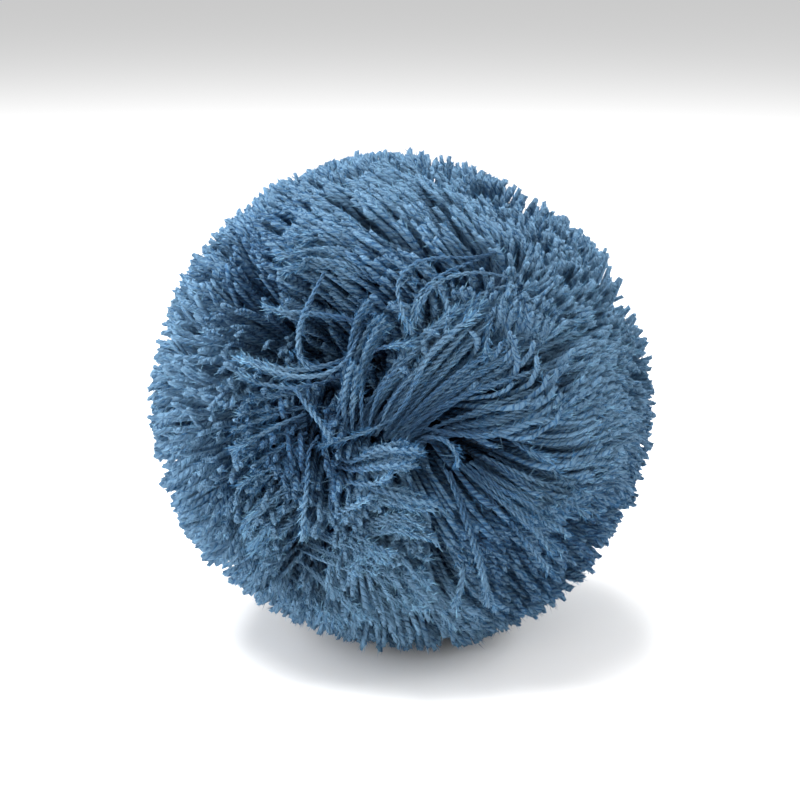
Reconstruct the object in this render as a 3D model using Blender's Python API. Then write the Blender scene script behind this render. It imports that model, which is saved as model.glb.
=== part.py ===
"""A pom pom of cut yarn, about 98 mm across, standing on a small flat spot.

The frame is +Z up, with the origin on the floor under the ball's middle, and the front
of the ball, where its deepest parting opens, faces -Y. The yarn is gathered into 294
four-sided locks, which stand apart and are fused only at their roots, where the real
ball is tied. All the locks grow from the squares of one small root ball.
"""

import math

import bmesh
import bpy
import numpy as np
from mathutils import Matrix, Vector

# Driving dimensions, in metres
BALL_RADIUS = 0.0489
MIDDLE_HEIGHT = 0.0473
ROOT_RADIUS = 0.0115
LENGTH_UNEVENNESS = 0.0012

# The root ball is a cube of squares blown up into a ball, and each square grows one lock
LOCKS_ALONG_A_SIDE = 7
ROOT_JITTER = 0.21
ROOT_TURN = math.radians(28)
SEED = 2

# A lock keeps to the cone of its square. Along says how far from root to tip each
# section stands, and filled how much of the cone's width the lock has there.
LOCK_SECTIONS = (
    # along, filled
    (0.30, 0.80),
    (0.60, 0.82),
    (0.84, 0.74),
    (1.00, 0.45),
)
# How much wider than its cone a lock may get where the yarn is combed apart
MOST_SPREAD = 1.15
# Locks whose middle ends this near the floor or lower rest on it, and end blunter
FLOOR_REACH = 0.001
FLOOR_TIP_FILLED = 0.70
# How the lean of a combed lock grows from root to tip
LEAN_POWER = 1.5
# How near its edge a lock's tip may sit in its cone, where 1 would be on the edge
TIP_WANDER = 0.75

# Where the yarn parts. Azimuth 0 is the front and 90 the right, in degrees. Push sets how
# far the tips lean away from the place, and reach is how far that is felt along the ball.
# Turn is the side that leans most, seen from outside, where 0 is the right and 90 is up.
# Bias is 0 where all sides lean alike, and the higher it is, the fewer lean with it.
PARTINGS = (
    # azimuth, elevation, push, reach, turn, bias
    (-12, 3, 0.086, 0.033, 10, 3.0),
    (-19, 31, 0.006, 0.014, 200, 0.5),
    (112, 14, 0.034, 0.022, 200, 1.0),
    (-128, -6, 0.034, 0.024, 60, 1.0),
    (170, 38, 0.038, 0.026, 300, 1.0),
)

# How near its middle a parting is fully open, as a share of its reach
OPEN_FROM = 0.25

# Where the yarn is cut or pressed short. Depth is how much shorter, and reach how far from
# the place it is felt.
HOLLOWS = (
    # azimuth, elevation, reach, depth
    (-19, 31, 0.009, 0.026),
    (-10, 28, 0.006, 0.016),
    (-30, 37, 0.006, 0.012),
    (-3, 4, 0.007, 0.016),
    (-22, -2, 0.005, 0.012),
    (-24, -15, 0.005, 0.012),
    (-26, -28, 0.005, 0.009),
    (42, -29, 0.013, 0.007),
    (59, -22, 0.009, 0.005),
    (-45, 33, 0.005, 0.008),
    (34, 3, 0.005, 0.005),
    (16, 38, 0.005, 0.006),
    (114, 14, 0.008, 0.012),
    (-130, -6, 0.008, 0.012),
    (172, 38, 0.009, 0.014),
    (152, -24, 0.007, 0.009),
    (62, 66, 0.006, 0.008),
)
# A lock is wider than a strand, so it feels a narrow hollow from this far
LEAST_HOLLOW_REACH = 0.007

# Where the yarn is combed over. Turn is the way that the tips lean.
COMBS = (
    # azimuth, elevation, turn, lean, reach
    (23, 55, 153, 0.017, 0.025),
    (-17, 56, 202, 0.008, 0.022),
    (-32, 13, 8, 0.012, 0.024),
    (-56, 35, 76, 0.006, 0.016),
    (-7, -4, 349, 0.006, 0.012),
    (-5, -28, 73, 0.009, 0.022),
    (-41, -13, 40, 0.008, 0.018),
    (24, -15, 316, 0.007, 0.018),
    (100, -20, 200, 0.008, 0.020),
    (140, 30, 60, 0.007, 0.022),
    (-140, 40, 330, 0.006, 0.022),
    (-95, 14, 100, 0.007, 0.020),
)

YARN_BLUE = (0.058, 0.150, 0.262, 1.0)
TINY = 1e-4


def clear_scene():
    for obj in list(bpy.data.objects):
        bpy.data.objects.remove(obj)


def yarn_material():
    """Soft matt yarn of one blue."""
    made = bpy.data.materials.new("yarn")
    made.use_nodes = True
    shader = made.node_tree.nodes["Principled BSDF"]
    shader.inputs["Base Color"].default_value = YARN_BLUE
    shader.inputs["Roughness"].default_value = 0.95
    shader.inputs["Metallic"].default_value = 0.0
    return made


def place_on_ball(azimuth, elevation):
    """Unit vector to a place on the ball, given in degrees."""
    around, up = math.radians(azimuth), math.radians(elevation)
    flat = math.cos(up)
    return Vector((math.sin(around) * flat, -math.cos(around) * flat, math.sin(up)))


def flat_part(vector, outwards):
    """What is left of a vector once its share along outwards is gone."""
    return vector - vector.dot(outwards) * outwards


def on_the_ball(place, turn):
    """The way along the ball that this turn gives at a place."""
    right = Vector((0, 0, 1)).cross(place).normalized()
    angle = math.radians(turn)
    return math.cos(angle) * right + math.sin(angle) * place.cross(right)


def parting_push(way, place, push, reach, turn, bias):
    """How a tip that grows along way leans off the middle of one parting."""
    off = flat_part(way - place, way)
    apart = BALL_RADIUS * way.angle(place) / reach
    if apart < TINY:
        return Vector((0, 0, 0))
    off.normalize()
    side = max(0.5 + 0.5 * off.dot(on_the_ball(place, turn)), 0.0) ** bias
    strength = apart / (apart + OPEN_FROM) * math.exp(-apart)
    return off * (side * push / BALL_RADIUS * strength)


def comb_push(way, place, turn, lean, reach):
    """How a tip that grows along way leans where the yarn is combed over."""
    apart = BALL_RADIUS * way.angle(place) / reach
    stroke = flat_part(on_the_ball(place, turn), way)
    return stroke * (lean / BALL_RADIUS * math.exp(-apart * apart))


def groomed(way, distance):
    """The point at this distance from the ball's middle on yarn that grows along way."""
    push = Vector((0, 0, 0))
    for azimuth, elevation, *stroke in PARTINGS:
        push += parting_push(way, place_on_ball(azimuth, elevation), *stroke)
    for azimuth, elevation, *stroke in COMBS:
        push += comb_push(way, place_on_ball(azimuth, elevation), *stroke)
    along = (distance - ROOT_RADIUS) / (BALL_RADIUS - ROOT_RADIUS)
    return (way + push * max(along, 0.0) ** LEAN_POWER).normalized() * distance


def lock_reach(way, unevenness):
    """How far from the ball's middle a lock ends."""
    reach = BALL_RADIUS + unevenness
    tip = groomed(way, BALL_RADIUS)
    for azimuth, elevation, width, depth in HOLLOWS:
        apart = BALL_RADIUS * tip.angle(place_on_ball(azimuth, elevation))
        width = max(width, LEAST_HOLLOW_REACH)
        reach -= depth * math.exp(-((apart / width) ** 2))
    return reach


def root_ball(chance):
    """The small ball of squares that the locks grow from."""
    mesh = bmesh.new()
    bmesh.ops.create_cube(mesh, size=2.0)
    bmesh.ops.subdivide_edges(
        mesh, edges=mesh.edges[:], cuts=LOCKS_ALONG_A_SIDE - 1, use_grid_fill=True
    )
    square = 2.0 / LOCKS_ALONG_A_SIDE
    for vertex in mesh.verts:
        # The tangent keeps the squares nearly even once they are on the ball
        spread = Vector([math.tan(math.pi / 4 * side) for side in vertex.co])
        under_middle = vertex.co.z < 0 and vertex.co.xy.length < square
        jitter = 0.0 if under_middle else ROOT_JITTER * square
        shift = Vector(chance.uniform(-1, 1, 3)) * jitter
        vertex.co = (spread + shift).normalized() * ROOT_RADIUS
    turn = Matrix.Rotation(ROOT_TURN, 3, "Z")
    bmesh.ops.rotate(mesh, verts=mesh.verts[:], cent=(0, 0, 0), matrix=turn)
    mesh.normal_update()
    return mesh


def tip_place(corners, chance):
    """Where in its square a lock's tip sits."""
    middle = sum(corners, Vector()) / 4
    if middle.xy.length < TINY and middle.z < 0:
        return middle
    across, down = 0.5 + chance.uniform(-0.5, 0.5, 2) * TIP_WANDER
    near = corners[0].lerp(corners[1], across)
    far = corners[3].lerp(corners[2], across)
    return near.lerp(far, down)


def kept_narrow(place, corner, filled, distance):
    """The share of the way to a corner that a lock has where grooming spreads its square."""
    spread = (groomed(corner, distance) - groomed(place, distance)).length / distance
    wider = spread / (corner - place).length
    return filled / max(1.0, wider / MOST_SPREAD)


def grow_lock(square, mesh, chance):
    """Extrudes one square of the root ball into a lock that ends at the ball's outside."""
    corners = [vertex.co.normalized() for vertex in square.verts]
    middle = (sum(corners, Vector()) / 4).normalized()
    place = tip_place(corners, chance).normalized()
    end = lock_reach(middle, chance.uniform(-1, 1) * LENGTH_UNEVENNESS)
    on_floor = min(groomed(corner, end).z for corner in corners) < -MIDDLE_HEIGHT
    on_floor = on_floor and groomed(middle, end).z < FLOOR_REACH - MIDDLE_HEIGHT
    face = square
    for along, filled in LOCK_SECTIONS:
        face = bmesh.ops.extrude_discrete_faces(mesh, faces=[face])["faces"][0]
        distance = ROOT_RADIUS + (end - ROOT_RADIUS) * along
        if on_floor:
            filled = max(filled, FLOOR_TIP_FILLED)
        for vertex, corner in zip(face.verts, corners):
            share = kept_narrow(place, corner, filled, distance)
            way = place.lerp(corner, share).normalized()
            vertex.co = groomed(way, distance)
            too_low = vertex.co.z < -MIDDLE_HEIGHT
            if too_low or on_floor and along == 1.0:
                vertex.co *= -MIDDLE_HEIGHT / vertex.co.z
                vertex.co.z = -MIDDLE_HEIGHT


def pom_pom():
    chance = np.random.default_rng(SEED)
    mesh = root_ball(chance)
    for square in mesh.faces[:]:
        grow_lock(square, mesh, chance)
    bmesh.ops.translate(mesh, verts=mesh.verts[:], vec=(0, 0, MIDDLE_HEIGHT))
    data = bpy.data.meshes.new("pom_pom")
    mesh.to_mesh(data)
    mesh.free()
    data.materials.append(yarn_material())
    made = bpy.data.objects.new("pom_pom", data)
    bpy.context.scene.collection.objects.link(made)
    return made


clear_scene()
pom_pom()
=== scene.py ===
"""The yarn pom pom dressed for the picture: strands of two-ply yarn and their fuzz."""

import math

import bpy
import numpy as np
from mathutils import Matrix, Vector

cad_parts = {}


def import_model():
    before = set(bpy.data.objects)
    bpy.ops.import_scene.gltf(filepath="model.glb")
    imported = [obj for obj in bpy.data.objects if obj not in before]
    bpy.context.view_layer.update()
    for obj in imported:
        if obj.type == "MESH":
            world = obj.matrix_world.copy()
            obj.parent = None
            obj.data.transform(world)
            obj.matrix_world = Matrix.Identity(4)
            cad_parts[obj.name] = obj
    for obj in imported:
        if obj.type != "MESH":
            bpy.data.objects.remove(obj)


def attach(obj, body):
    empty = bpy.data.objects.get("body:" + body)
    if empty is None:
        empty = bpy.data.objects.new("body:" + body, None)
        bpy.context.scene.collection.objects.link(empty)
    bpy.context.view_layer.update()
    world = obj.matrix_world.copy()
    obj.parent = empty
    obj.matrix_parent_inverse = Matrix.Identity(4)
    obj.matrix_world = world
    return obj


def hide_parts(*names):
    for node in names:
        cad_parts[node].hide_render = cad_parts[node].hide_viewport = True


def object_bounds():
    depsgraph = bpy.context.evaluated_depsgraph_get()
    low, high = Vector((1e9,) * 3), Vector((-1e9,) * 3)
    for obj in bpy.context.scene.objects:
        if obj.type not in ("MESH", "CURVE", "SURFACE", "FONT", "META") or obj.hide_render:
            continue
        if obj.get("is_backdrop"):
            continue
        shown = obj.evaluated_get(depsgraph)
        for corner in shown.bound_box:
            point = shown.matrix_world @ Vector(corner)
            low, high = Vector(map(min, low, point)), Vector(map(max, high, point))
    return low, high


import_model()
cad_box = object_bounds()

# Sizes of the ball, in metres, the same as its solid's
BALL_RADIUS = 0.0489
MIDDLE_HEIGHT = 0.0473
ROOT_RADIUS = 0.0115
MIDDLE = np.array((0.0, 0.0, MIDDLE_HEIGHT))
# How the lean of combed yarn grows from root to tip
LEAN_POWER = 1.5
# How near its middle a parting is fully open, as a share of its reach
OPEN_FROM = 0.25

# The picture is taken from this far above level. Right, up and near are as seen in it.
TILT = math.radians(15)
RIGHT = np.array((1.0, 0.0, 0.0))
UP = np.array((0.0, math.sin(TILT), math.cos(TILT)))
NEAR = np.array((0.0, -math.cos(TILT), math.sin(TILT)))
CAMERA_DISTANCE = 0.378

# Yarn
STRAND_COUNT = 5200
MOST_A_PIECE = 600
STRAND_RADIUS = 0.00052
STRAND_SIDES = 4
# How far from the ball's middle the strands start
STRAND_START = 0.006
# How much longer than the ball's radius the strands are, and how unevenly they are cut
EXTRA_LENGTH = 0.0002
LENGTH_UNEVENNESS = 0.0004
# How much of the room that it has near the ball's middle a strand takes
PRESSED_FILLING = 0.78
# More strands where the partings spread them: how many, azimuth, elevation, spread
CROWDED = ((520, 16, 8, 0.24), (320, 30, 46, 0.20))
# How far from root to cut end each ring of a strand stands
ALONG = np.array((0.0, 0.19, 0.33, 0.45, 0.56, 0.66, 0.75, 0.83, 0.90, 0.96, 1.0))
TUFT_COUNT = 460
# How far strands and tufts stand off an even spread, as shares of their spacing
STRAND_WANDER = 0.22
TUFT_WANDER = 0.25
# Rings that a bent strand keeps, and a nearly straight one. Bent from is how far a strand
# bows off its chord, which starts at this ring.
BENT_RINGS = (0, 2, 4, 5, 6, 7, 8, 9, 10)
STRAIGHT_RINGS = (0, 6, 9, 10)
BENT_FROM = 0.0016
CHORD_START = 4
# How many strands lie side by side on a piece's map, and the room that each leaves at its sides
# and at its ends
ATLAS_COLUMNS = 60
ATLAS_ASIDE = 0.06
ATLAS_ENDS = 0.01
PLY_PITCH = 0.0031
# How far the fan that closes a strand's root stands off it, and how much further along its
# yarn the middle of its cut end counts
ROOT_CAP = 0.0005
TIP_CAP = 0.0004
# How far a strand may open at its cut end, and the range of the strands' thickness
MOST_OPENED = 0.35
OWN_THICKNESS = (0.86, 1.14)
# Where along a strand it opens and closes: shares of its length, then how much
OPENING = ((0.0, 0.80, 0.93, 1.0), (0.0, 0.0, 1.0, 0.3))
CLOSING = ((0.0, 0.95, 1.0), (1.0, 1.0, 0.8))
# How ragged the cut ends are: how wide their corners stand and how far out, in radii
RAGGED_WIDTH = (0.7, 1.3)
RAGGED_LENGTH = (-1.0, 0.9)
# A way that hardly any strand runs along, for vectors across a strand
ASKEW = (0.31, 0.22, 0.93)
SEED = 5

# How the strands stray off a straight line. Those of a tuft are pulled towards its middle and
# lean together. Each leans on its own too, and swings this often from root to cut end.
TUFT_PULL = (0.05, 0.50)
TUFT_LEAN = 0.90
OWN_LEAN = 0.75
OWN_SWING = 0.25
OWN_TURNS = (0.7, 1.9)
# How far neighbours sway together, and how often
SWAY = 0.050
SWAY_TURNS = 1.1

# Where the yarn parts. Azimuth 0 is the front and 90 the right, in degrees. Push sets how
# far the tips lean away from the place, and reach is how far that is felt along the ball.
# Turn is the side that leans most, seen from outside, where 0 is the right and 90 is up.
# Bias is 0 where all sides lean alike, and the higher it is, the fewer lean with it.
PARTINGS = (
    # azimuth, elevation, push, reach, turn, bias
    (-3, 4, 0.089, 0.033, 12, 2.4),
    (33, 40, 0.028, 0.028, 165, 2.0),
    (-19, 31, 0.004, 0.014, 200, 0.5),
    (112, 14, 0.034, 0.022, 200, 1.0),
    (-128, -6, 0.034, 0.024, 60, 1.0),
    (170, 38, 0.038, 0.026, 300, 1.0),
)

# Where the yarn is cut or pressed short. Depth is how much shorter, and reach how far from
# the place it is felt.
HOLLOWS = (
    # azimuth, elevation, reach, depth
    (-21, 28, 0.013, 0.030),
    (-6, -14, 0.019, 0.0030),
    (6, 18, 0.018, 0.0030),
    (-30, 2, 0.016, 0.0025),
    (22, 0, 0.017, 0.0025),
    (-10, 28, 0.006, 0.016),
    (-30, 37, 0.006, 0.012),
    (3, 6, 0.011, 0.019),
    (-24, -15, 0.006, 0.007),
    (-26, -28, 0.005, 0.009),
    (40, -32, 0.013, 0.011),
    (59, -24, 0.009, 0.008),
    (-45, 33, 0.005, 0.008),
    (34, 3, 0.005, 0.005),
    (16, 38, 0.005, 0.006),
    (114, 14, 0.008, 0.012),
    (-130, -6, 0.008, 0.012),
    (172, 38, 0.009, 0.014),
    (152, -24, 0.007, 0.009),
    (62, 66, 0.006, 0.008),
)

# Where the ball's outline bulges, or is flatter
BULGES = (
    # azimuth, elevation, reach, how much longer
    (66, -42, 0.030, 0.0019),
    (86, 16, 0.016, 0.0012),
    (-74, -26, 0.014, 0.0008),
    (102, 61, 0.016, -0.0014),
    (-35, -63, 0.012, -0.0012),
)

# Where the yarn is combed over. Turn is the way that the tips lean.
COMBS = (
    # azimuth, elevation, turn, lean, reach
    (14, 54, 155, 0.010, 0.025),
    (-17, 56, 202, 0.008, 0.022),
    (-32, 13, 8, 0.012, 0.024),
    (-56, 35, 76, 0.006, 0.016),
    (-26, 2, 255, 0.020, 0.013),
    (-7, -4, 349, 0.006, 0.012),
    (-5, -28, 73, 0.009, 0.022),
    (-41, -13, 40, 0.008, 0.018),
    (24, -15, 316, 0.007, 0.018),
    (100, -20, 200, 0.008, 0.020),
    (140, 30, 60, 0.007, 0.022),
    (-140, 40, 330, 0.006, 0.022),
    (-95, 14, 100, 0.007, 0.020),
)

# Where the yarn lies smooth. Elsewhere the strands lean every way.
SMOOTHED = (
    # azimuth, elevation, reach
    (16, 8, 0.036),
    (-23, -5, 0.013),
    (14, 46, 0.026),
    (20, -22, 0.018),
    (130, 10, 0.030),
    (-160, 30, 0.026),
)
ROUGH_LEAN = 0.074
SMOOTH_LEAN = 0.016

# Short fibres: name, share of them, colour
FIBRE_TONES = (
    ("deep", 0.30, (0.024, 0.076, 0.160)),
    ("middling", 0.36, (0.064, 0.175, 0.325)),
    ("pale", 0.34, (0.200, 0.385, 0.545)),
)
LOOSE_COLOUR = (0.120, 0.225, 0.340)
# Fibres of the cut ends: how many a strand has, how they splay, how far back from its end
# they start, and how long and thick they are
BRUSH_EACH = 12
BRUSH_SPLAY = 0.75
BRUSH_BACK = (0.0004, 0.0046)
BRUSH_LENGTH = (0.0007, 0.0020)
BRUSH_RADIUS = (0.00005, 0.00011)
# Fibres of the strands' skins. They are spread evenly where crowding is 1, and the higher it
# is, the more of them are near the cut ends. Run is how much more they go along than off.
NAP_COUNT = 28000
NAP_CROWDING = 1.4
NAP_RUN = (0.4, 2.4)
NAP_LENGTH = (0.0008, 0.0022)
NAP_RADIUS = (0.00004, 0.00008)
# Longer loose fibres
LOOSE_COUNT = 5000
LOOSE_CROWDING = 1.6
LOOSE_RUN = (-0.3, 1.2)
LOOSE_LENGTH = (0.0015, 0.0045)
LOOSE_RADIUS = (0.000022, 0.000040)
# How far down from the cut ends the strands' skins have fibres, as a share of their length
FUZZ_REACH = 0.65

# The yarn's colours from its darkest tone to its palest
YARN_TONES = (
    # tone, colour
    (0.10, (0.008, 0.026, 0.064)),
    (0.40, (0.016, 0.069, 0.174)),
    (0.68, (0.041, 0.142, 0.305)),
    (0.98, (0.155, 0.300, 0.468)),
)
SHEEN_TINT = (0.55, 0.75, 0.95, 1.0)
# How much the tone differs from strand to strand, and the painted shade that makes a ply's groove
# darker than its crown
STRAND_TONE = 0.26
PAINTED_GROOVE_SHADE = 0.50
# How strongly fibres streak yarn whose plies are drawn on it and yarn whose plies really
# twist, each with what it adds to the tone
DRAWN_STREAKS = (0.32, 0.0)
TWISTED_STREAKS = (0.50, -0.08)
# What the place along a strand adds to its tone: the first as far as this share of its
# length, painted shade that darkens the roots deep in the ball, and the second at its cut end,
# partly the opened fibres' own paleness and partly painted light on the ball's rim
PALER_FROM = 0.45
PAINTED_ROOT_SHADE_AND_END_TONES = (-0.18, 0.43)
# How unevenly the plies twist, how high fibres stand next to plies, and how deep it all is
TWIST_UNEVENNESS = 0.9
FIBRE_RELIEF = 0.55
RELIEF_DEPTH = 0.00060

# Where the yarn's tone is shifted, as shares of its tones: partly its tips brushed open and paler
# or pressed close and deeper, and partly painted light on the lit sides and rims and painted shade
# in the hollows and under the overhangs
BRUSHED_TONE_AND_PAINTED_LIGHT = (
    # azimuth, elevation, reach, how much paler: painted light and brushing above zero, painted
    # shade and pressing below
    (-43, -26, 0.016, 0.08),
    (-24, -32, 0.015, 0.16),
    (-5, -21, 0.014, 0.16),
    (0, -38, 0.014, 0.40),
    (57, -37, 0.014, -0.30),
    (29, -37, 0.010, -0.24),
    (63, -21, 0.010, -0.24),
    (-32, 32, 0.012, -0.02),
    (-18, 28, 0.007, -0.50),
    (-9, 34, 0.008, -0.26),
    (21, 24, 0.010, -0.14),
    (9, 48, 0.012, -0.16),
    (-11, 48, 0.009, -0.20),
    (33, 6, 0.011, -0.16),
    (7, 9, 0.010, -0.40),
    (19, -3, 0.010, -0.20),
    (21, -20, 0.010, -0.42),
    (-6, 21, 0.007, -0.12),
    (-19, 6, 0.009, -0.20),
    (-19, -7, 0.007, -0.16),
    (-41, 7, 0.012, 0.08),
    (-33, 6, 0.010, -0.32),
    (-21, -1, 0.012, -0.24),
    (-64, 11, 0.016, 0.30),
    (72, 28, 0.015, 0.60),
    (0, 69, 0.018, 0.18),
    (7, 29, 0.010, 0.08),
    (49, 10, 0.014, 0.10),
    (-54, 44, 0.012, -0.32),
)

# Single strands that stray over the others, as seen in the picture. Out is how far from the
# ball's middle the root end and the cut end are, as shares of its radius. Thick is 1 for a
# usual strand. The places are in mm to the right of the ball's middle and above it.
STRAYS = (
    # out at root, out at cut, thick, places from root to cut
    (0.83, 1.01, 1.0, (-1.8, 12.3), (-9.8, 14.6), (-17, 15.6), (-20.9, 15.7), (-24.6, 16.8)),
    (1.00, 0.91, 1.1, (-13.5, 22.7), (-15.8, 18.1), (-17.4, 14.5), (-18.1, 11.4), (-17.8, 7.8),
        (-16.2, 6)),
    (1.00, 0.95, 0.8, (17.6, 26.7), (12.5, 25.5), (7.1, 25.4), (2.7, 24.3), (0.2, 21.8),
        (-0.4, 19.1), (0.5, 15.5), (2.1, 11.6)),
    (1.00, 0.91, 0.9, (18.3, 27.2), (12.5, 24.6), (7.8, 22.4), (4.8, 20.2), (2.7, 17.2),
        (1.9, 12.4)),
    (1.00, 0.93, 0.8, (19.3, 22.1), (14.4, 22.8), (9.9, 22.2), (6.4, 20.6), (3.7, 17.5),
        (2.8, 13.8)),
    (0.96, 0.93, 1.1, (4.2, 17.1), (5.1, 19.6), (6.7, 20), (8.1, 17.7), (8.7, 14.7), (8.1, 11.8)),
    (0.97, 0.91, 0.9, (17.2, 17.1), (16.1, 13.8), (15.4, 10.3), (15.3, 7.5)),
    (0.89, 0.93, 0.9, (-4.6, 8.8), (-2.1, 9.5), (2.3, 10.2)),
    (0.83, 0.99, 0.8, (-3.6, 18.4), (-6.1, 15.9), (-7.5, 11.4), (-9.7, 6.9), (-14.1, 4.4),
        (-19.5, 4.4), (-24.9, 5.9), (-30.1, 7.5)),
    (0.83, 0.93, 1.2, (-9.6, -5.7), (-10.1, -0.9), (-9.5, 3.5), (-8.4, 6.7)),
    (0.83, 0.91, 1.2, (-8.6, -5.7), (-8.5, -0.9), (-8.1, 3.2), (-7.6, 6)),
    (0.83, 0.89, 1.0, (-11.4, -5.4), (-11, -1.8), (-10.1, 2.5), (-9.9, 6)),
    (0.83, 0.91, 1.0, (-6.8, -5.7), (-6.9, 0), (-6.9, 5.3), (-5.7, 9.7), (-3.9, 12.4)),
    (0.83, 0.97, 1.0, (-5.7, -5.3), (-3.9, 0.9), (-0.4, 5.7), (4.4, 10.3), (9.2, 15.1),
        (16.1, 19.5), (23.4, 20.9)),
    (0.83, 0.98, 1.0, (-3.9, -5.5), (-1.4, 0), (2.7, 4.9), (7.1, 9.7), (12.4, 14.5), (18.8, 18.2),
        (25.2, 20.2)),
    (0.83, 0.98, 1.1, (-2.7, -5.3), (0.9, -0.4), (3.5, 4.9), (5.6, 8.5), (9.7, 12.3),
        (14.1, 15.5)),
    (0.83, 0.99, 1.0, (0.4, -4.4), (5.7, 0.9), (12.4, 6.2), (19.6, 10.3), (28, 13.5), (34.8, 15)),
    (0.83, 0.99, 1.0, (1.8, -4.8), (8.9, -0.4), (17.8, 3.2), (26.1, 5.6), (32.7, 6.4),
        (36.5, 5.1)),
    (0.83, 0.97, 1.1, (4.5, -5), (12.5, -6.4), (18.7, -5.9), (24.1, -3.9), (31, -2.7)),
    (0.87, 0.95, 1.1, (-19.7, 2.5), (-18.4, 1.4), (-16, -1.8), (-13.9, -4.4), (-12.1, -7.4)),
    (0.83, 0.91, 0.7, (0, -2.3), (-3.9, -4.8), (-8.9, -6.7), (-14.5, -8.2)),
    (0.83, 1.03, 1.1, (-14.7, -6.5), (-16.3, -9.3), (-16.6, -14.3), (-17.1, -19.6), (-17.5, -25.2)),
    (0.83, 1.01, 1.1, (-12.2, -9.3), (-8.9, -10.9), (-3.5, -8.6), (-0.3, -8.9), (3.1, -8.7)),
    (0.83, 1.01, 1.1, (-12.4, -11.3), (-8.5, -12.4), (-3.5, -11.9), (1.9, -11.3)),
    (0.83, 1.00, 1.0, (-12, -12.6), (-8.9, -14.6), (-4.9, -14.8), (-1.4, -13.3)),
    (0.83, 1.01, 1.1, (-9.9, -15.1), (-4.4, -16), (0.9, -17.3), (6.5, -18.6)),
    (0.83, 0.97, 1.1, (-12.5, -15.9), (-12.6, -18.4), (-11.8, -20.3), (-8.5, -19), (-4.9, -16.9)),
    (0.83, 1.01, 1.0, (-9, -17.7), (-2.7, -18.4), (2.1, -19.1), (6, -19.3)),
    (0.83, 0.97, 0.9, (3.9, -6.6), (6.4, -6.7), (8.5, -7.6), (10, -9.7), (10.2, -11.8)),
    (0.83, 1.05, 1.2, (8.2, -12.6), (10.4, -17.9), (12.6, -24.3), (15, -31.9), (17.6, -39.2)),
    (0.83, 1.05, 1.1, (9, -12.9), (11.3, -18.9), (13.4, -25.3), (15.1, -31.3), (16.2, -38)),
    (0.83, 1.03, 1.2, (7.3, -22.7), (10.5, -26.3), (11.3, -32.9), (9.9, -38.7)),
    (0.83, 1.03, 1.1, (14.1, -14.1), (18.1, -19.9), (23.8, -26.6), (28.2, -32.5)),
    (0.83, 0.99, 1.1, (14.4, -12.6), (18, -15.9), (23.5, -19), (28.4, -23.3)),
    (0.83, 0.99, 0.9, (19, -6.5), (22.5, -8.7), (25.1, -9.9), (27.7, -11.1)),
    (0.83, 1.01, 0.9, (21.8, -8.2), (27.4, -12.4), (32, -15.6), (34.7, -17.5)),
)

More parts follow.
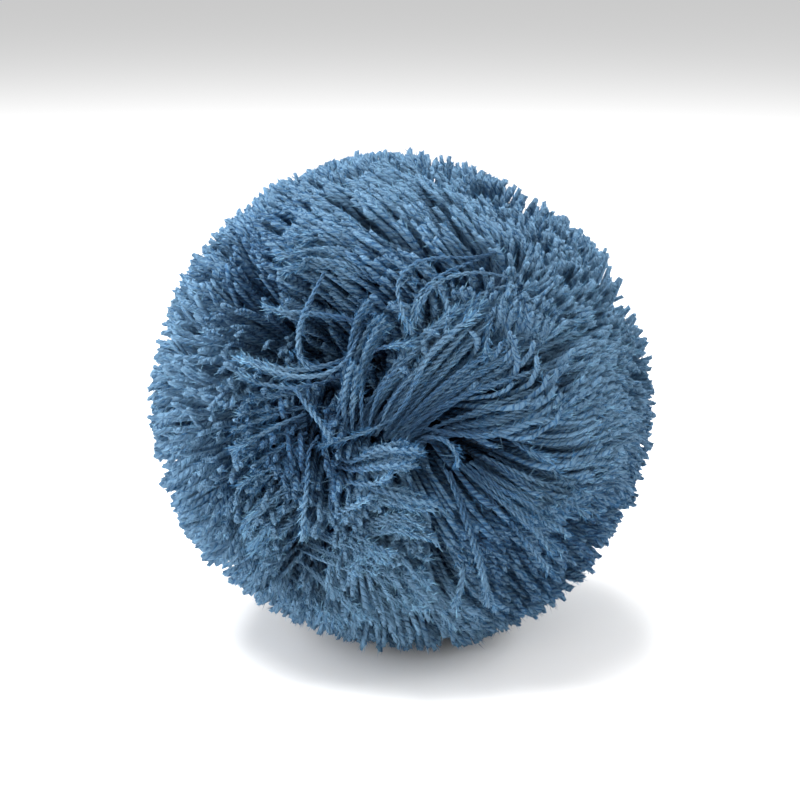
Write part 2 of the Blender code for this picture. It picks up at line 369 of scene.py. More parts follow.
# Bundles of such strands, each spread between two lines
SHEAVES = (
    # how many, out at root, out at cut, places on one side, places on the other
    (6, 0.77, 0.93,
        ((-11.6, -6.9), (-10.8, -0.4), (-10.2, 5), (-9.3, 10.4), (-7.9, 14.6), (-5.7, 17.4)),
        ((-8, -5.8), (-6.8, 0.4), (-5.4, 5), (-3.6, 8.9), (-1.8, 11.7), (0.4, 13.8))),
    (20, 0.78, 0.96,
        ((-7.9, -5.8), (-4.7, 0.4), (-1.4, 5.3), (1.8, 9.6), (6.4, 13.5), (11, 17)),
        ((-1.8, -6.9), (2.9, -0.7), (7.1, 4.3), (11.8, 9.6), (16.1, 15), (21.7, 19.5))),
    (14, 0.78, 0.97,
        ((-2.2, -6.9), (3.6, -0.7), (8.9, 4.6), (15.4, 9.7), (22.4, 14.4), (30.5, 19.1)),
        ((1.4, -7.2), (8.3, -1.8), (15.4, 2.9), (23.5, 6.9), (31.5, 9.9), (38.4, 11.9))),
    (8, 0.77, 0.95,
        ((2.2, -6.5), (8.6, -3.6), (16.2, -0.7), (24.6, 2.5), (32.9, 4)),
        ((3.6, -8), (10.1, -6.5), (17.7, -6.5), (25.3, -4.3), (33.7, -1.5))),
    (7, 0.77, 0.95,
        ((-12, -8), (-8.6, -8.8), (-5, -8.4), (-1.4, -7.4), (2.8, -7)),
        ((-12.4, -12), (-9, -13.8), (-4.3, -13.3), (0.7, -12.1), (4.2, -10.9))),
    (7, 0.78, 0.97,
        ((-12.8, -13.1), (-10.1, -15.2), (-5.4, -15.4), (-0.4, -16), (4.9, -17.3)),
        ((-13.2, -16.9), (-10.9, -19.3), (-6.9, -19.5), (-2.1, -18.5), (2.8, -19.5))),
    (8, 0.80, 0.99,
        ((-14.3, -19.1), (-10.9, -20.7), (-6.1, -21.2), (-0.7, -20.3), (4.2, -21.2)),
        ((-12.9, -23.3), (-9.5, -24.5), (-5.4, -24.6), (-0.4, -23.6), (4.3, -24.6))),
    (15, 0.84, 1.00,
        ((8.4, 25.3), (0.7, 28.2), (-6.6, 30), (-13.9, 30.7), (-20.4, 29.6)),
        ((-0.4, 18.4), (-5.4, 21.1), (-10.8, 23.3), (-16.3, 24), (-20.9, 23.1))),
    (3, 0.78, 0.94,
        ((-6.1, 9.9), (-11.7, 7.2), (-18.8, 6.1), (-25, 7.6), (-29.9, 9.8)),
        ((-8.7, 5.1), (-14.1, 2.9), (-19.8, 1.8), (-24.9, 2.2), (-29, 3.6))),
    (15, 0.81, 0.98,
        ((-17.4, 1.5), (-21.7, 0.7), (-26.4, -0.4), (-31.1, -2.2)),
        ((-16.7, -8.4), (-20.7, -10.9), (-25.1, -14.2), (-29.5, -17.9))),
    (11, 0.83, 0.99,
        ((-18.2, -11.3), (-21.4, -14.5), (-25.1, -18.2), (-28.5, -22.3)),
        ((-17.4, -22.2), (-20, -25.1), (-23.4, -28.2), (-26.4, -31.3))),
    (9, 0.82, 1.01,
        ((-18.8, -27.2), (-14.4, -28.8), (-9.8, -30.3), (-5.8, -31.8)),
        ((-12.9, -23.2), (-8.7, -24.4), (-4.7, -25.5), (-1.1, -26.7))),
    (9, 0.82, 1.01,
        ((-10.4, -33.8), (-5.6, -36.1), (-0.7, -38), (3.7, -39.5)),
        ((-2.2, -25.7), (1.1, -27), (4.3, -28.2), (7.2, -29.8))),
    (9, 0.84, 1.01,
        ((-27.3, -31.6), (-22.9, -35.7), (-18.4, -39.4), (-13.3, -43.3)),
        ((-18.8, -29.4), (-13.8, -33.2), (-8.9, -37.2), (-4.1, -41.3))),
    (14, 0.80, 1.04,
        ((11.2, -12), (16.3, -17), (21.1, -22.2), (25.2, -27.8)),
        ((16.7, -9.5), (24.5, -12.8), (32.5, -15.9), (40.3, -18.8))),
)

# Stray strands, each of two round plies. Aside is how far a ply's middle is off the strand's,
# and both it and the ply's radius are shares of the strand's radius.
STRAY_RADIUS = 0.00051
STRAY_SIDES = 4
STRAY_SPACING = 0.00045
STRAY_PALER = 0.18
STRAY_TONES = (0.0, 1.6)
# How far along a whole strand's tones a stray one starts
STRAY_FROM = 0.40
PLY_ASIDE = 0.54
PLY_RADIUS = 0.53
PLY_CAP = 0.0002
# How many usual strands' fibres a stray one has at its cut end, and fibres along it
STRAY_FUZZ = 3
STRAY_NAP = 60
STRAY_CROWDING = 0.9
# How thick a stray strand is: shares of its length, then of its usual thickness
STRAY_TAPER = ((0, 0.4, 0.95, 1), (0.55, 1, 1, 0.8))
# How the strands of a bundle drift across it, how far along its last stretch they end, how
# much further out they lie, and how thick they are
SHEAF_DRIFT = (-0.2, 0.2)
SHEAF_END = (0.1, 1.4)
SHEAF_OUT = (-0.05, 0.015)
SHEAF_THICK = (0.85, 1.1)
# How many points a smooth line has from one of its places to the next
STEPS_BETWEEN = 12

# Light
LAMP_SIZE = 0.5
LAMPS = (
    # name, place, power in watts
    ("key", (-0.18, 0.02, 0.75), 11.5),
    ("left", (-0.65, 0.15, 0.30), 4.5),
    ("right", (0.65, 0.25, 0.30), 5.5),
    ("front", (-0.50, -0.50, 0.06), 4.5),
)
WORLD_STRENGTH = 0.62
FLOOR_HALF = 6
FLOOR_COLOUR = (0.93, 0.93, 0.93, 1.0)


def unit(vectors):
    """The vectors, each one unit long."""
    return vectors / np.maximum(np.linalg.norm(vectors, axis=-1, keepdims=True), 1e-12)


def place_on_ball(azimuth, elevation):
    """Unit vector to a place on the ball, given in degrees."""
    around, up = math.radians(azimuth), math.radians(elevation)
    flat = math.cos(up)
    return np.array((math.sin(around) * flat, -math.cos(around) * flat, math.sin(up)))


def flat_part(vectors, outwards):
    """What is left of each vector once its share along outwards is gone."""
    return vectors - (vectors * outwards).sum(-1, keepdims=True) * outwards


def apart_on_ball(ways, place):
    """How far apart two ways are along the ball."""
    return BALL_RADIUS * np.arccos(np.clip(ways @ place, -1, 1))[..., None]


def on_the_ball(place, turn):
    """The way along the ball that this turn gives at a place."""
    right = unit(np.cross((0.0, 0.0, 1.0), place))
    angle = math.radians(turn)
    return math.cos(angle) * right + math.sin(angle) * np.cross(place, right)


def parting_push(ways, place, push, reach, turn, bias):
    """How the tips that grow along these ways lean off the middle of one parting."""
    off = unit(flat_part(ways - place, ways))
    apart = apart_on_ball(ways, place) / reach
    side = (0.5 + 0.5 * (off @ on_the_ball(place, turn))[..., None]) ** bias
    return off * side * (push / BALL_RADIUS * apart / (apart + OPEN_FROM) * np.exp(-apart))


def comb_push(ways, place, turn, lean, reach):
    """How the tips that grow along these ways lean where the yarn is combed over."""
    apart = apart_on_ball(ways, place) / reach
    stroke = flat_part(on_the_ball(place, turn), ways)
    return stroke * (lean / BALL_RADIUS * np.exp(-(apart**2)))


def groomed(ways, distances):
    """The points at these distances from the ball's middle on yarn that grows along ways."""
    push = np.zeros_like(ways)
    for azimuth, elevation, *stroke in PARTINGS:
        push += parting_push(ways, place_on_ball(azimuth, elevation), *stroke)
    for azimuth, elevation, *stroke in COMBS:
        push += comb_push(ways, place_on_ball(azimuth, elevation), *stroke)
    along = np.maximum((distances - ROOT_RADIUS) / (BALL_RADIUS - ROOT_RADIUS), 0.0)
    return unit(ways + push * along**LEAN_POWER) * distances


def even_ways(count, chance, unevenness):
    """Ways spread evenly over the ball, each moved a little."""
    number = np.arange(count) + 0.5
    height = 1 - 2 * number / count
    around = number * math.pi * (3 - math.sqrt(5))
    flat = np.sqrt(1 - height**2)
    ways = np.stack((np.cos(around) * flat, np.sin(around) * flat, height), -1)
    spacing = math.sqrt(4 * math.pi / count)
    return unit(ways + chance.normal(0, unevenness * spacing, (count, 3)))


def strand_lengths(ways, chance):
    """How far from the ball's middle each strand ends."""
    ends = BALL_RADIUS + chance.normal(EXTRA_LENGTH, LENGTH_UNEVENNESS, len(ways))
    tips = groomed(ways, BALL_RADIUS) / BALL_RADIUS
    for azimuth, elevation, reach, height in BULGES:
        apart = apart_on_ball(tips, place_on_ball(azimuth, elevation))[..., 0]
        ends += height * np.exp(-((apart / reach) ** 2))
    for azimuth, elevation, reach, depth in HOLLOWS:
        apart = apart_on_ball(tips, place_on_ball(azimuth, elevation))[..., 0]
        ends -= chance.uniform(0.5, 1.2, len(ways)) * depth * np.exp(-((apart / reach) ** 2))
    return ends


def unruliness(ways):
    """How far each strand leans off its neighbours' way."""
    smooth = np.zeros(len(ways))
    for azimuth, elevation, reach in SMOOTHED:
        apart = apart_on_ball(ways, place_on_ball(azimuth, elevation))[..., 0] / reach
        smooth = np.maximum(smooth, np.exp(-(apart**4)))
    return (ROUGH_LEAN + (SMOOTH_LEAN - ROUGH_LEAN) * smooth)[:, None, None]


def strand_paths(chance):
    """Points along each strand, as (strands, points, 3)."""
    ways = [even_ways(STRAND_COUNT, chance, STRAND_WANDER)]
    for more, azimuth, elevation, spread in CROWDED:
        crowd = place_on_ball(azimuth, elevation) + chance.normal(0, spread, (more, 3))
        ways.append(unit(crowd))
    ways = np.concatenate(ways)
    tufts = even_ways(TUFT_COUNT, chance, TUFT_WANDER)
    pull = chance.uniform(*TUFT_PULL, len(tufts))
    tuft_lean = flat_part(chance.normal(0, TUFT_LEAN, (len(tufts), 3)), tufts)[:, None, :]
    tuft_lean = tuft_lean * unruliness(tufts)
    nearest = np.argmax(ways @ tufts.T, axis=1)
    ends = strand_lengths(ways, chance)
    first = unit(np.cross(ways, ASKEW))
    second = np.cross(ways, first)
    along = ALONG[None, :, None]
    # A strand that is cut short strays less
    slack = (((ends - STRAND_START) / (BALL_RADIUS - STRAND_START)) ** 2)[:, None, None]
    bent = ways[:, None, :] + np.zeros((1, len(ALONG), 1))
    # The strands of a tuft gather towards its middle and lean one way together
    gather = (pull[nearest])[:, None, None] * along**2
    bent = bent + gather * (tufts[nearest] - ways)[:, None, :]
    bent = bent + tuft_lean[nearest] * slack * along**2
    # Each strand leans and waves on its own
    for side in (first, second):
        lean = chance.normal(0, OWN_LEAN, (len(ways), 1, 1)) * unruliness(ways)
        swing = chance.normal(0, OWN_SWING, (len(ways), 1, 1)) * unruliness(ways)
        turns = chance.uniform(*OWN_TURNS, (len(ways), 1, 1))
        start = chance.uniform(0, 2 * math.pi, (len(ways), 1, 1))
        wave = np.sin(start + 2 * math.pi * turns * along) * swing * along
        bent = bent + (wave + lean * along**2) * slack * side[:, None, :]
    # Neighbours sway together
    sway = np.sin(ways @ chance.normal(0, 5.0, (3, 3)) + chance.uniform(0, 6, 3))[:, None, :]
    swell = np.sin(2 * math.pi * SWAY_TURNS * along + 3.0 * sway[..., :1])
    bent = bent + SWAY * sway * swell * along**1.5
    distances = STRAND_START + (ends[:, None, None] - STRAND_START) * along
    paths = groomed(unit(bent), distances)
    # Strands under the ball end level on the floor
    low = paths[:, -1, 2] < -MIDDLE_HEIGHT
    shorter = MIDDLE_HEIGHT / np.maximum(-paths[low, -1, 2], 1e-6)
    distances[low] *= shorter[:, None, None]
    paths[low] = groomed(unit(bent[low]), distances[low])
    return paths + MIDDLE


def strand_widths(paths, chance):
    """The radius of each strand at each point: pressed thin at the middle, and open at the cut."""
    distance = np.linalg.norm(paths - MIDDLE, axis=-1)
    pressed = distance * math.sqrt(4 / STRAND_COUNT) * PRESSED_FILLING
    widths = np.minimum(pressed, STRAND_RADIUS)
    opened = chance.uniform(0.0, MOST_OPENED, (len(paths), 1)) * np.interp(ALONG, *OPENING)
    own = chance.uniform(*OWN_THICKNESS, (len(paths), 1))
    return widths * (np.interp(ALONG, *CLOSING) + opened) * own


def rings_round(paths, widths, sides):
    """Rings round each strand, as (strands, points, sides, 3), and the way it runs there."""
    tangents = unit(np.gradient(paths, axis=1))
    side = unit(np.cross(paths[:, -1] - paths[:, 0], ASKEW))[:, None, :]
    side = unit(flat_part(side + np.zeros_like(tangents), tangents))
    other = np.cross(tangents, side)
    angle = np.arange(sides) * (2 * math.pi / sides)
    spread = (
        side[:, :, None, :] * np.cos(angle)[:, None]
        + other[:, :, None, :] * np.sin(angle)[:, None]
    )
    return paths[:, :, None, :] + spread * widths[:, :, None, None], tangents


def strand_faces(rings, sides):
    """Faces of one strand: its sides, then a fan at the root and one at the tip."""
    faces = []
    for ring in range(rings - 1):
        for side in range(sides):
            after = (side + 1) % sides
            low, high = ring * sides, (ring + 1) * sides
            faces.append((low + side, low + after, high + after, high + side))
    root, tip, last = rings * sides, rings * sides + 1, (rings - 1) * sides
    for side in range(sides):
        after = (side + 1) % sides
        faces.append((root, after, side))
        faces.append((tip, last + side, last + after))
    return faces


def strand_layout(rings, sides):
    """Round and along for each corner of one strand's faces, in the order of strand_faces."""
    round_it, along_it = [], []
    for ring in range(rings - 1):
        for side in range(sides):
            round_it += [side, side + 1, side + 1, side]
            along_it += [ring, ring, ring + 1, ring + 1]
    for side in range(sides):
        round_it += [side + 0.5, side + 1, side, side + 0.5, side, side + 1]
        along_it += [0, 0, 0, rings, rings - 1, rings - 1]
    return np.array(round_it) / sides, np.array(along_it)


def paler(points):
    """How much the yarn's tone is raised at each point: paler where its tips are brushed open and
    where light is painted, deeper where they are pressed close and where shade is painted.
    """
    ways = unit(points - MIDDLE)
    more = np.zeros(points.shape[:-1])
    for azimuth, elevation, reach, much in BRUSHED_TONE_AND_PAINTED_LIGHT:
        apart = apart_on_ball(ways, place_on_ball(azimuth, elevation))[..., 0] / reach
        more += much * np.exp(-(apart**2))
    return more


def yarn_object(name, points, faces, yarn, atlas, shade, along, more, material):
    """A mesh of yarn, with what its material reads."""
    data = bpy.data.meshes.new(name)
    points[..., 2] = np.maximum(points[..., 2], 0.0)
    data.from_pydata(points, [], faces)
    for label, places in (("yarn", yarn), ("OFBake", atlas)):
        layer = data.uv_layers.new(name=label)
        layer.data.foreach_set("uv", places.astype(np.float32).reshape(-1))
    for label, values in (("shade", shade), ("along", along), ("paler", more)):
        layer = data.attributes.new(label, "FLOAT", "POINT")
        layer.data.foreach_set("value", values.astype(np.float32))
    data.shade_smooth()
    data.materials.append(material)
    made = bpy.data.objects.new(name, data)
    bpy.context.scene.collection.objects.link(made)
    return made


def walked(paths):
    """How far along its path each point is."""
    steps = np.linalg.norm(np.diff(paths, axis=-2), axis=-1)
    return np.concatenate((np.zeros((*steps.shape[:-1], 1)), np.cumsum(steps, axis=-1)), -1)


def on_strip(share, edge):
    """Where a share of a strand's strip lies on it, once both its edges are left free."""
    return edge + (1 - 2 * edge) * share


def strand_piece(name, paths, widths, shades, along, sides, material):
    """One mesh that holds these strands side by side."""
    count, rings = len(paths), len(along)
    points, tangents = rings_round(paths, widths, sides)
    # The cut ends are ragged
    chance = np.random.default_rng(SEED + 7)
    ragged = chance.uniform(*RAGGED_WIDTH, (count, 2, sides, 1))
    middle = paths[:, -2:, None, :]
    points[:, -2:] = middle + (points[:, -2:] - middle) * ragged
    longer = chance.uniform(*RAGGED_LENGTH, (count, sides, 1)) * widths[:, -1, None, None]
    points[:, -1] += tangents[:, -1:, :] * longer
    root = paths[:, :1] - tangents[:, :1] * ROOT_CAP
    tip = paths[:, -1:] - tangents[:, -1:] * widths[:, -1:, None] * 0.5
    points = np.concatenate((points.reshape(count, -1, 3), root, tip), axis=1)
    each = points.shape[1]
    one = strand_faces(rings, sides)
    faces = [tuple(corner + each * i for corner in face) for i in range(count) for face in one]
    lengths = walked(paths)
    lengths = np.concatenate((lengths, lengths[:, -1:] + TIP_CAP), 1)
    round_it, along_it = strand_layout(rings, sides)
    yarn = np.stack((np.tile(round_it, count), lengths[:, along_it].reshape(-1) / PLY_PITCH), -1)
    number = np.arange(count)
    rows = math.ceil(count / ATLAS_COLUMNS)
    share = lengths / lengths[:, -1:]
    column, row = (number % ATLAS_COLUMNS)[:, None], (number // ATLAS_COLUMNS)[:, None]
    across = (column + on_strip(round_it[None, :], ATLAS_ASIDE)) / ATLAS_COLUMNS
    upwards = (row + on_strip(share[:, along_it], ATLAS_ENDS)) / rows
    atlas = np.stack((across, upwards), -1)
    shade = np.repeat(shades, each)
    along = np.tile(np.append(np.repeat(along, sides), (0.0, 1.0)), count)
    points = points.reshape(-1, 3)
    # The yarn's tone by place on the ball, with painted light and painted shade
    more = paler(points)
    return yarn_object(name, points, faces, yarn, atlas, shade, along, more, material)


def smooth_through(knots, spacing):
    """Points this far apart on a smooth line through the knots."""
    ends = (2 * knots[:1] - knots[1:2], knots, 2 * knots[-1:] - knots[-2:-1])
    knots = np.concatenate(ends)
    t = np.linspace(0, 1, STEPS_BETWEEN, endpoint=False)[:, None]
    parts = []
    for a, b, c, d in zip(knots, knots[1:], knots[2:], knots[3:]):
        bow = (2 * a - 5 * b + 4 * c - d) * t**2 + (3 * b - a - 3 * c + d) * t**3
        parts.append(b + 0.5 * ((c - a) * t + bow))
    line = np.concatenate((*parts, knots[-2:-1]))
    far = walked(line)
    even = np.linspace(0, far[-1], max(int(far[-1] / spacing), 8))
    return np.stack([np.interp(even, far, line[:, axis]) for axis in range(3)], -1)


def stray_path(first, last, places):
    """A smooth path through places seen in the picture, this far out at its two ends."""
    places = np.array(places) / 1000
    out = np.linspace(first, last, len(places)) * BALL_RADIUS
    near = np.sqrt(np.maximum(out**2 - (places**2).sum(1), 0.0))
    knots = places[:, :1] * RIGHT + places[:, 1:] * UP + near[:, None] * NEAR
    return smooth_through(knots + MIDDLE, STRAY_SPACING)


def sheaf_strands(chance):
    """The strands of each bundle, as rows like those of single strands."""
    for count, first, last, one, other in SHEAVES:
        one, other = np.array(one), np.array(other)
        for number in range(count):
            share = (number + chance.uniform(0.0, 1.0)) / count
            drift = np.linspace(*chance.uniform(*SHEAF_DRIFT, 2), len(one))[:, None]
            places = one + (other - one) * (share + drift)
            places[-1] = places[-2] + (places[-1] - places[-2]) * chance.uniform(*SHEAF_END)
            further = chance.uniform(*SHEAF_OUT)
            thick = chance.uniform(*SHEAF_THICK)
            yield first + further, last + 0.5 * further, thick, *places


def ply_rings(path, radius, phase):
    """Rings of one ply as it twists round the strand's path."""
    tangent = unit(np.gradient(path, axis=0))
    side = unit(flat_part(np.array(ASKEW) + 0 * tangent, tangent))
    other = np.cross(tangent, side)
    turn = walked(path) * (2 * math.pi / PLY_PITCH) + phase
    aside = side * np.cos(turn)[:, None] + other * np.sin(turn)[:, None]
    middle = path + aside * radius[:, None] * PLY_ASIDE
    rings, tangents = rings_round(middle[None], radius[None] * PLY_RADIUS, STRAY_SIDES)
    return rings[0].reshape(-1, 3), middle, tangents[0]


def stray_strands(material):
    """The stray strands, each of two plies that really twist, and their paths."""
    chance = np.random.default_rng(SEED + 3)
    points, faces, yarn, atlas, shade, along, coarse = [], [], [], [], [], [], []
    rows = [*STRAYS, *sheaf_strands(chance)]
    start, strips = 0, 2 * len(rows)
    for number, (first, last, thick, *places) in enumerate(rows):
        path = stray_path(first, last, places)
        share = np.linspace(0, 1, len(path))
        radius = STRAY_RADIUS * thick * np.interp(share, *STRAY_TAPER)
        tone, phase = chance.uniform(*STRAY_TONES), chance.uniform(0, 2 * math.pi)
        spots = np.interp(ALONG, share, np.arange(len(path))).round().astype(int)
        coarse.append(path[spots])
        for ply in range(2):
            rings, middle, tangents = ply_rings(path, radius, phase + math.pi * ply)
            caps = (middle[0] - tangents[0] * PLY_CAP, middle[-1] + tangents[-1] * PLY_CAP)
            points += [rings, caps]
            one = strand_faces(len(path), STRAY_SIDES)
            faces += [tuple(corner + start for corner in face) for face in one]
            start += len(rings) + 2
            round_it, along_it = strand_layout(len(path), STRAY_SIDES)
            far = np.append(walked(path), walked(path)[-1] + PLY_CAP)
            yarn.append(np.stack((round_it, far[along_it] / PLY_PITCH), -1))
            strip = (2 * number + ply + on_strip(round_it, ATLAS_ASIDE)) / strips
            atlas.append(np.stack((strip, on_strip(far[along_it] / far[-1], ATLAS_ENDS)), -1))
            shade.append(np.full(len(rings) + 2, tone))
            reach = STRAY_FROM + (1 - STRAY_FROM) * share
            along.append(np.append(np.repeat(reach, STRAY_SIDES), (reach[0], 1.0)))
    joined = [np.concatenate(part) for part in (points, yarn, atlas, shade, along)]
    # Stray strands are paler yarn, with half as much of the painted light and painted shade by
    # place
    more = STRAY_PALER + 0.5 * paler(joined[0])
    made = yarn_object("stray_strands", joined[0], faces, *joined[1:], more, material)
    return made, np.array(coarse)


class Nodes:
    """Short names for building one material's nodes."""

    def __init__(self, name):
        self.material = bpy.data.materials.new(name)
        self.material.use_nodes = True
        self.tree = self.material.node_tree
        self.shader = self.tree.nodes["Principled BSDF"]

    def add(self, kind, **settings):
        node = self.tree.nodes.new(kind)
        for key, value in settings.items():
            setattr(node, key, value)
        return node

    def link(self, output, socket):
        self.tree.links.new(output, socket)

    def put(self, value, socket):
        if isinstance(value, bpy.types.NodeSocket):
            self.link(value, socket)
        else:
            socket.default_value = value

    def maths(self, operation, first, second=0.0, third=0.0):
        node = self.add("ShaderNodeMath", operation=operation)
        for value, socket in zip((first, second, third), node.inputs):
            self.put(value, socket)
        return node.outputs[0]

    def ramp(self, value, stops):
        node = self.add("ShaderNodeValToRGB")
        stops_made = node.color_ramp.elements
        while len(stops_made) < len(stops):
            stops_made.new(0.5)
        for stop, (position, colour) in zip(stops_made, stops):
            stop.position = position
            stop.color = (*colour, 1.0)
        self.link(value, node.inputs["Fac"])
        return node.outputs["Color"]

    def mixed(self, share, first, second, blend="MIX"):
        node = self.add("ShaderNodeMix", data_type="RGBA", blend_type=blend)
        self.put(share, node.inputs["Factor"])
        self.put(first, node.inputs["A"])
        self.put(second, node.inputs["B"])
        return node.outputs["Result"]


def yarn_material(name, drawn_plies):
    """Yarn of fine fibres, with its two plies drawn or modelled: darker at the roots with painted
    shade, paler at the cut ends partly with painted light, and shifted by place with painted light
    and painted shade.
    """
    n = Nodes(name)
    shade = n.add("ShaderNodeAttribute", attribute_name="shade").outputs["Fac"]
    along = n.add("ShaderNodeAttribute", attribute_name="along").outputs["Fac"]
    # Tone by place on the ball: partly brushing, partly painted light and painted shade
    more = n.add("ShaderNodeAttribute", attribute_name="paler").outputs["Fac"]
    place = n.add("ShaderNodeUVMap", uv_map="yarn").outputs["UV"]
    split = n.add("ShaderNodeSeparateXYZ")
    n.link(place, split.inputs[0])
    round_it, length = split.outputs["X"], split.outputs["Y"]
    # Two plies: the groove comes round twice in each turn
    uneven_place = n.add("ShaderNodeCombineXYZ")
    n.link(n.maths("MULTIPLY", length, 0.7), uneven_place.inputs[0])
    n.link(n.maths("MULTIPLY", shade, 90.0), uneven_place.inputs[1])
    uneven = n.add("ShaderNodeTexNoise", noise_dimensions="3D")
    uneven.inputs["Scale"].default_value = 1.0
    uneven.inputs["Detail"].default_value = 1.0
    n.link(uneven_place.outputs[0], uneven.inputs["Vector"])
    unevenness = n.maths("MULTIPLY", uneven.outputs["Fac"], TWIST_UNEVENNESS)
    twist = n.maths("ADD", length, unevenness)
    turn = n.maths("ADD", n.maths("MULTIPLY", round_it, 2.0), n.maths("MULTIPLY", twist, 2.0))
    ply = n.maths("ABSOLUTE", n.maths("SINE", n.maths("MULTIPLY", turn, math.pi)))
    streak, offset = DRAWN_STREAKS
    # Plies that really twist take their groove shade from the light, with only a little painted
    # shade
    if not drawn_plies:
        ply = n.maths("MULTIPLY_ADD", ply, 0.15, 0.70)
        streak, offset = TWISTED_STREAKS
    # Fibres run nearly along the ply
    fibre_place = n.add("ShaderNodeCombineXYZ")
    n.link(n.maths("MULTIPLY", turn, 5.0), fibre_place.inputs[0])
    n.link(n.maths("MULTIPLY", length, 2.2), fibre_place.inputs[1])
    n.link(n.maths("MULTIPLY", shade, 50.0), fibre_place.inputs[2])
    fibres = n.add("ShaderNodeTexNoise", noise_dimensions="3D")
    fibres.inputs["Scale"].default_value = 1.0
    fibres.inputs["Detail"].default_value = 3.0
    fibres.inputs["Roughness"].default_value = 0.6
    n.link(fibre_place.outputs[0], fibres.inputs["Vector"])
    fibre = n.maths("MULTIPLY_ADD", fibres.outputs["Fac"], 4.0, -1.52)
    tone = n.maths("MULTIPLY_ADD", shade, STRAND_TONE, more)
    # Painted shade: the grooves between the plies darker than their crowns
    tone = n.maths("ADD", tone, n.maths("MULTIPLY", ply, PAINTED_GROOVE_SHADE))
    tone = n.maths("ADD", tone, n.maths("MULTIPLY_ADD", fibre, streak, offset))
    # Painted shade on the roots deep in the ball; the cut ends paler, partly painted light on the
    # rim
    tip = n.add("ShaderNodeMapRange", interpolation_type="SMOOTHSTEP")
    n.link(along, tip.inputs["Value"])
    tip.inputs["From Min"].default_value = PALER_FROM
    tip.inputs["From Max"].default_value = 1.0
    tip.inputs["To Min"].default_value = PAINTED_ROOT_SHADE_AND_END_TONES[0]
    tip.inputs["To Max"].default_value = PAINTED_ROOT_SHADE_AND_END_TONES[1]
    tone = n.maths("ADD", tone, tip.outputs["Result"])
    n.link(n.ramp(tone, YARN_TONES), n.shader.inputs["Base Color"])
    n.shader.inputs["Roughness"].default_value = 0.85
    n.shader.inputs["Specular IOR Level"].default_value = 0.06
    n.shader.inputs["Sheen Weight"].default_value = 0.20
    n.shader.inputs["Sheen Roughness"].default_value = 0.5
    n.shader.inputs["Sheen Tint"].default_value = SHEEN_TINT
    height = n.maths("ADD", ply, n.maths("MULTIPLY", fibre, FIBRE_RELIEF))
    bump = n.add("ShaderNodeBump")
    bump.inputs["Strength"].default_value = 1.0
    bump.inputs["Distance"].default_value = RELIEF_DEPTH
    n.link(height, bump.inputs["Height"])
    n.link(bump.outputs["Normal"], n.shader.inputs["Normal"])
    return n.material


def strands(material):
    """The pieces of the usual strands, and the path and the widths of each strand."""
    chance = np.random.default_rng(SEED)
    paths = strand_paths(chance)
    widths = strand_widths(paths, chance)
    shades = chance.uniform(0, 1, len(paths))
    outer = paths[:, CHORD_START:] - paths[:, CHORD_START:CHORD_START + 1]
    chord = unit(paths[:, -1] - paths[:, CHORD_START])[:, None, :]
    bend = np.linalg.norm(flat_part(outer, chord), axis=-1).max(1)
    around = np.arctan2(paths[:, -1, 0], -paths[:, -1, 1])
    pieces = []
    for word, chosen, kept in (
        ("bent", bend >= BENT_FROM, list(BENT_RINGS)),
        ("straight", bend < BENT_FROM, list(STRAIGHT_RINGS)),
    ):
        order = np.flatnonzero(chosen)[np.argsort(around[chosen], kind="stable")]
        parts = math.ceil(len(order) / MOST_A_PIECE)
        for number, some in enumerate(np.array_split(order, parts)):
            rings = np.ix_(some, kept)
            name = f"{word}_strands_{number + 1}"
            what = (paths[rings], widths[rings], shades[some], ALONG[kept], STRAND_SIDES)
            pieces.append(strand_piece(name, *what, material))
    return pieces, paths, widths


def fibre_material(name, colour):
    """Matt fibres of one colour."""
    n = Nodes(name)
    n.shader.inputs["Base Color"].default_value = (*colour, 1.0)
    n.shader.inputs["Roughness"].default_value = 0.9
    n.shader.inputs["Specular IOR Level"].default_value = 0.06
    return n.material


def fibre_starts(paths, widths, count, crowding, chance):
    """Places on the strands' skins, with the strand's run and the way outwards there."""
    strand = chance.integers(0, len(paths), count)
    at = np.clip(1 - chance.beta(1.0, crowding, count) * FUZZ_REACH, 0.0, 0.9999)
    spot = np.searchsorted(ALONG, at, side="right") - 1
    part = ((at - ALONG[spot]) / (ALONG[spot + 1] - ALONG[spot]))[:, None]
    before, after = paths[strand, spot], paths[strand, spot + 1]
    tangent = unit(after - before)
    across = unit(flat_part(chance.normal(0, 1, (count, 3)), tangent))
    start = before + (after - before) * part + across * widths[strand, spot][:, None] * 0.6
    return start, tangent, across


def fibre_piece(name, points, one, material):
    """One mesh of many fibres, from the points of each and the faces of one."""
    points[..., 2] = np.maximum(points[..., 2], 0.0)
    count, each = points.shape[:2]
    faces = [tuple(corner + each * i for corner in face) for i in range(count) for face in one]
    data = bpy.data.meshes.new(name)
    data.from_pydata(points.reshape(-1, 3), [], faces)
    data.materials.append(material)
    made = bpy.data.objects.new(name, data)
    bpy.context.scene.collection.objects.link(made)
    return made


def three_round(middle, out, wide):
    """Three points round a fibre."""
    first = unit(np.cross(out, (0.3, 0.5, 0.8))) * wide
    second = np.cross(out, first)
    angles = (0.0, 2 * math.pi / 3, 4 * math.pi / 3)
    return [middle + first * math.cos(angle) + second * math.sin(angle) for angle in angles]


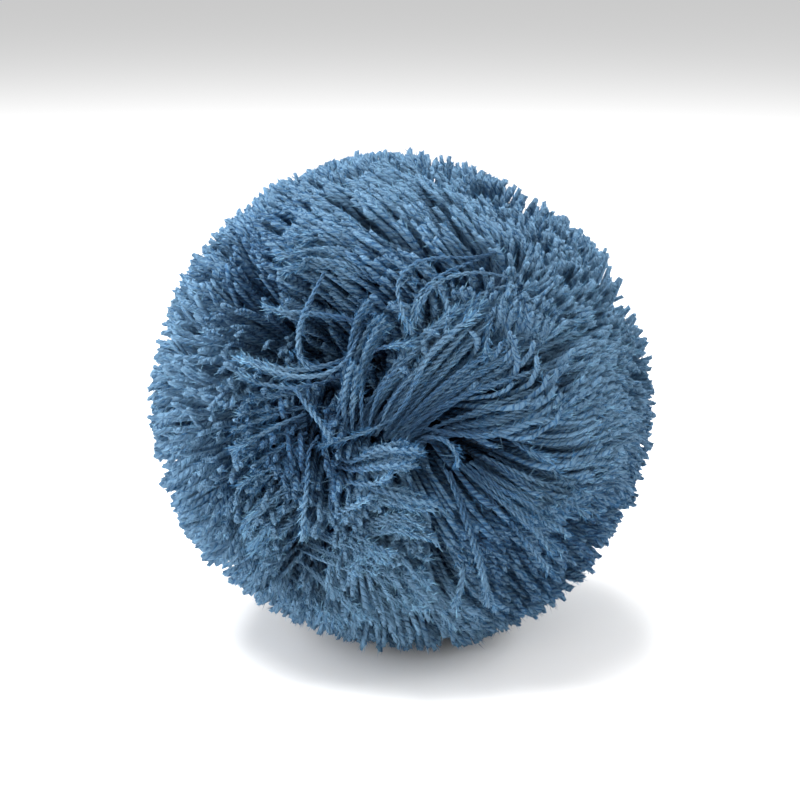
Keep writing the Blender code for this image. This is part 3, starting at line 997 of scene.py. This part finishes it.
def brush(paths, widths, each, chance):
    """The opened cut ends: fibres that run on from each strand and splay."""
    strand = np.repeat(np.arange(len(paths)), each)
    count = len(strand)
    tip = paths[strand, -1]
    tangent = unit(tip - paths[strand, -2])
    across = unit(flat_part(chance.normal(0, 1, (count, 3)), tangent))
    radius = widths[strand, -2][:, None]
    start = tip - tangent * chance.uniform(*BRUSH_BACK, (count, 1))
    start = start + across * radius * chance.uniform(0.5, 1.0, (count, 1))
    out = unit(tangent + across * np.abs(chance.normal(0, BRUSH_SPLAY, (count, 1))))
    length = chance.uniform(*BRUSH_LENGTH, (count, 1))
    wide = chance.uniform(*BRUSH_RADIUS, (count, 1))
    return np.stack((*three_round(start, out, wide), start + out * length), axis=1)


def nap(paths, widths, count, chance, crowding):
    """Short straight fibres that roughen the strands, most of them at the cut ends."""
    start, tangent, across = fibre_starts(paths, widths, count, crowding, chance)
    out = unit(tangent * chance.uniform(*NAP_RUN, (count, 1)) + across)
    length = chance.uniform(*NAP_LENGTH, (count, 1))
    wide = chance.uniform(*NAP_RADIUS, (count, 1))
    return np.stack((*three_round(start, out, wide), start + out * length), axis=1)


def short_fibres(paths, widths, stray_paths, stray_widths):
    """The fibres of the cut ends and of the strands' skins, in three tones."""
    chance = np.random.default_rng(SEED + 1)
    stray_count = STRAY_NAP * len(stray_paths)
    stray_nap = nap(stray_paths, stray_widths, stray_count, chance, STRAY_CROWDING)
    brushed = brush(paths, widths, BRUSH_EACH, chance)
    roughened = nap(paths, widths, NAP_COUNT, chance, NAP_CROWDING)
    points = np.concatenate((brushed, roughened, stray_nap))
    reached = np.cumsum([share for _, share, _ in FIBRE_TONES])
    # Fibres are picked paler where light is painted and deeper where shade is painted
    drawn = chance.uniform(0, 1, len(points)) + 1.2 * paler(points[:, 3])
    tone = np.searchsorted(reached[:-1], drawn)
    one = [(2, 1, 0), (0, 1, 3), (1, 2, 3), (2, 0, 3)]
    for number, (name, _, colour) in enumerate(FIBRE_TONES):
        some, material = points[tone == number], fibre_material(name, colour)
        yield fibre_piece(f"{name}_fibres", some, one, material)


def long_fibres(paths, widths, count):
    """Longer loose fibres that curl away from the strands."""
    chance = np.random.default_rng(SEED + 2)
    start, tangent, across = fibre_starts(paths, widths, count, LOOSE_CROWDING, chance)
    out = unit(tangent * chance.uniform(*LOOSE_RUN, (count, 1)) + across)
    length = chance.uniform(*LOOSE_LENGTH, (count, 1))
    bend = unit(np.cross(out, chance.normal(0, 1, (count, 3)))) * length * 0.30
    half = start + out * length * 0.55 + bend * 0.5
    end = start + out * length + bend * chance.uniform(-1, 2, (count, 1))
    wide = chance.uniform(*LOOSE_RADIUS, (count, 1))
    corners = three_round(start, out, wide) + three_round(half, out, wide)
    points = np.stack((*corners, end), axis=1)
    one = [(2, 1, 0), (0, 1, 4, 3), (1, 2, 5, 4), (2, 0, 3, 5), (3, 4, 6), (4, 5, 6), (5, 3, 6)]
    return fibre_piece("long_fibres", points, one, fibre_material("loose", LOOSE_COLOUR))


def stage():
    """A plain pale floor."""
    data = bpy.data.meshes.new("floor")
    half = FLOOR_HALF
    corners = [(-half, -half, 0), (half, -half, 0), (half, half, 0), (-half, half, 0)]
    data.from_pydata(corners, [], [(0, 1, 2, 3)])
    n = Nodes("pale_floor")
    n.shader.inputs["Base Color"].default_value = FLOOR_COLOUR
    n.shader.inputs["Roughness"].default_value = 1.0
    n.shader.inputs["Specular IOR Level"].default_value = 0.0
    data.materials.append(n.material)
    made = bpy.data.objects.new("floor", data)
    bpy.context.scene.collection.objects.link(made)
    made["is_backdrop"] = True


def aimed(place):
    """How a lamp or a camera at this place is turned to face the ball's middle."""
    return (Vector(MIDDLE) - Vector(place)).to_track_quat("-Z", "Y").to_euler()


def lamp(name, place, power):
    """A soft square lamp that faces the ball's middle."""
    data = bpy.data.lights.new(name, "AREA")
    data.energy = power
    data.size = LAMP_SIZE
    made = bpy.data.objects.new(name, data)
    made.location = place
    made.rotation_euler = aimed(place)
    bpy.context.scene.collection.objects.link(made)


def camera():
    """The camera, at the photograph's viewing angle."""
    data = bpy.data.cameras.new("camera")
    data.lens = 85
    data.sensor_width = 36
    made = bpy.data.objects.new("camera", data)
    place = MIDDLE + NEAR * CAMERA_DISTANCE
    made.location = place
    made.rotation_euler = aimed(place)
    bpy.context.scene.collection.objects.link(made)
    bpy.context.scene.camera = made


def world():
    """An even white light from all sides."""
    made = bpy.data.worlds.new("studio")
    made.use_nodes = True
    background = made.node_tree.nodes["Background"]
    background.inputs["Color"].default_value = (1, 1, 1, 1)
    background.inputs["Strength"].default_value = WORLD_STRENGTH
    bpy.context.scene.world = made


pieces, paths, widths = strands(yarn_material("twisted_yarn", True))
strays, stray_paths = stray_strands(yarn_material("twisted_plies", False))
pieces.append(strays)
stray_widths = np.full((len(stray_paths), len(ALONG)), STRAY_RADIUS * 1.1)
paths = np.concatenate((paths, np.repeat(stray_paths, STRAY_FUZZ, axis=0)))
widths = np.concatenate((widths, np.repeat(stray_widths, STRAY_FUZZ, axis=0)))
pieces.extend(short_fibres(paths, widths, stray_paths, stray_widths))
pieces.append(long_fibres(paths, widths, LOOSE_COUNT))
for piece in pieces:
    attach(piece, "root")
    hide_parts("pom_pom")
stage()
world()
for row in LAMPS:
    lamp(*row)
bpy.context.scene.view_settings.view_transform = "Standard"
camera()

plain = [[[float(v) for v in corner] for corner in box] for box in (cad_box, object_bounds())]
